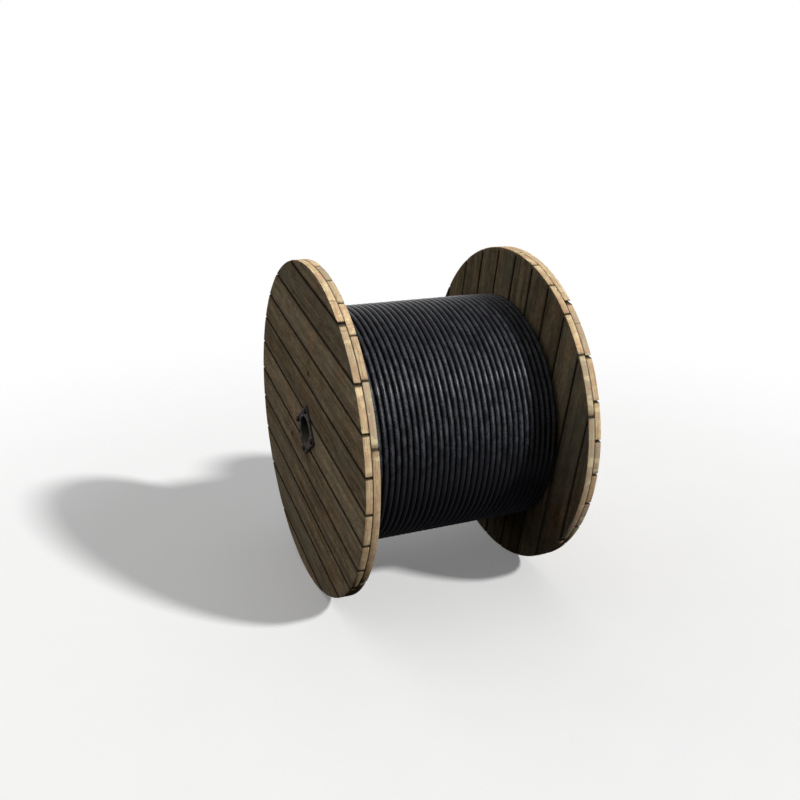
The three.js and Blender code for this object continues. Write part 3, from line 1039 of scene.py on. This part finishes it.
def tie_nut(number, angle):
    """Hexagon nut chamfered on both faces."""
    low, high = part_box(f"tie_nut_{number}")
    middle = bolt_place(angle)

    def radius_at(turn, x):
        return hexagon_radius(turn, min(x - low.x, high.x - x))

    levels = spread(low.x, low.x + CHAMFER_DEPTH, CHAMFER_LEVELS)
    levels += spread(high.x - CHAMFER_DEPTH, high.x, CHAMFER_LEVELS)
    name = f"tie_nut_{number}_iron"
    nut = link(turned(name, middle, levels, radius_at), name)
    cutter = link(cylinder_mesh("cutter", [(middle, BOLT_HOLE)], CUT_LENGTH), "cutter")
    drill(nut, cutter)
    baked(nut)
    bpy.data.objects.remove(cutter)
    soften(nut, 30)
    settle(nut, steel, "bolt_steel", f"tie_nut_{number}")


def layer_radius(layer):
    return BARREL_RADIUS + CABLE_RADIUS * (2 * layer - 1)


def cable_centre(angle, layer, along, climb=0.0):
    """A point of the cable's middle line, which strays less where a flange holds it."""
    around = radial(angle)
    sway = noise.noise(around * SWAY_WAVES + STRAY_SEED) * SWAY
    own = noise.noise(Vector((angle * OWN_WAVES, layer * LAYER_SHIFT, 0.0)) + STRAY_SEED)
    middle = CENTRE + around * (layer_radius(layer) + climb * 2 * CABLE_RADIUS + own * OWN_RISE)
    free = min(1, FREE_SLOPE * (1 - abs(along) / WINDING_REACH))
    middle.x = CENTRE.x + along + sway * free + own * OWN_SWAY * free
    return middle


def wound_path(layer, start, steps, with_climb):
    """The middle line of one layer, from its flange to the other, and the climb to the next layer."""
    heading = 1 if layer % 2 else -1
    count = WINDING_TURNS * steps
    path = []
    for step in range(count + 1):
        share = step / count
        along = heading * WINDING_REACH * (2 * share - 1)
        path.append(cable_centre(start + share * LAYER_ANGLE, layer, along))
    if with_climb:
        rise_steps = max(LEAST_CLIMB_STEPS, round(steps * CLIMB / FULL_TURN))
        for step in range(1, rise_steps):
            share = step / rise_steps
            eased = share * share * (3 - 2 * share)
            angle = start + LAYER_ANGLE + share * CLIMB
            path.append(cable_centre(angle, layer, heading * WINDING_REACH, eased))
    return path


def tube_along(name, path, radii, sides, run=0.0):
    """A round tube on a path, which starts after a run of cable; its places are stored for the material."""
    rings = []
    places = []
    for number, (point, radius) in enumerate(zip(path, radii)):
        before = path[max(number - 1, 0)]
        after = path[min(number + 1, len(path) - 1)]
        tangent = (after - before).normalized()
        outward = Vector((0, point.y - CENTRE.y, point.z - CENTRE.z)).normalized()
        side_way = tangent.cross(outward).normalized()
        outward = side_way.cross(tangent)
        run += (point - before).length
        ring = []
        for side in range(sides):
            angle = FULL_TURN * side / sides
            ring.append(point + radius * (math.cos(angle) * outward + math.sin(angle) * side_way))
            places.append((run, radius * math.cos(angle), radius * math.sin(angle)))
        rings.append(ring)
    mesh = grid_mesh(name, rings)
    store(mesh, "cable_place", places)
    return link(mesh, name), run


def cable():
    """Inner layers, the outer layer that shows, and its end fastened to the right flange."""
    second_start = WINDING_START - CLIMB - LAYER_ANGLE
    first_start = second_start - CLIMB - LAYER_ANGLE
    inner = wound_path(1, first_start, INNER_STEPS, True) + wound_path(2, second_start, INNER_STEPS, True)
    inner.append(cable_centre(WINDING_START, 3, -WINDING_REACH))
    core, run = tube_along("cable_inner_layers", inner, [CABLE_RADIUS] * len(inner), INNER_SIDES)
    soften(core, 60)
    settle(core, sheath, "cable_sheath", "cable_core")

    outer = wound_path(3, WINDING_START, OUTER_STEPS, False)
    last = outer[-1]
    tangent = Vector((0, -math.sin(WINDING_START), math.cos(WINDING_START)))
    outer += [last + tangent * TAIL_LENGTH * step / TAIL_STEPS for step in range(1, TAIL_STEPS + 1)]
    winding, run = tube_along("cable_outer_layer", outer, [CABLE_RADIUS] * len(outer), OUTER_SIDES, run)
    soften(winding, 60)
    settle(winding, sheath, "cable_sheath", "cable_winding")

    cable_cap(last, tangent, run)
    cable_staple(last + tangent * (TAIL_LENGTH - STAPLE_BACK), tangent)


def cable_cap(last, tangent, run):
    """A shrunk cap over the cable's end."""
    path = [last + tangent * (TAIL_LENGTH - CAP_COVER + level) for level, _ in CAP_PROFILE]
    radii = [CABLE_RADIUS * width_share for _, width_share in CAP_PROFILE]
    cap, _ = tube_along("cable_end_cap", path, radii, OUTER_SIDES, run)
    soften(cap, 60)
    settle(cap, sheath, "cable_sheath")


def cable_staple(middle, tangent):
    """A bent wire that holds the cable's end to the flange, with both legs driven into it."""
    outward = tangent.cross(AXIS)
    reach = CABLE_RADIUS + STAPLE_WIRE + STAPLE_PLAY
    bend = [middle + outward * reach * math.cos(angle) - AXIS * reach * math.sin(angle)
            for angle in spread(0, math.pi, STAPLE_BENDS)]
    path = [middle + AXIS * STAPLE_LEG + outward * reach]
    path += bend
    path += [middle + AXIS * STAPLE_LEG - outward * reach]
    turns = [FULL_TURN * side / STAPLE_SIDES for side in range(STAPLE_SIDES)]
    rings = []
    for number, point in enumerate(path):
        before = path[max(number - 1, 0)]
        after = path[min(number + 1, len(path) - 1)]
        way = (after - before).normalized()
        across = way.cross(tangent).normalized()
        rings.append([point + STAPLE_WIRE * (math.cos(turn) * across + math.sin(turn) * tangent)
                      for turn in turns])
    staple = link(grid_mesh("cable_end_staple", rings), "cable_end_staple")
    soften(staple, 50)
    settle(staple, steel, "bolt_steel")


# Studio
camera_of_photo()
studio_floor()
key_light()
studio_world()
bpy.context.scene.view_settings.view_transform = "Standard"

# Materials
flange_timber = timber("flange_timber", FLANGE_FACE, FLANGE_RIM)
barrel_timber = timber("barrel_timber", BARREL_FACE)
steel = weathered_steel("weathered_steel")
sheath = black_sheath("black_sheath")

# Drum
flange_boards()
barrel()
hub_irons()
cable()
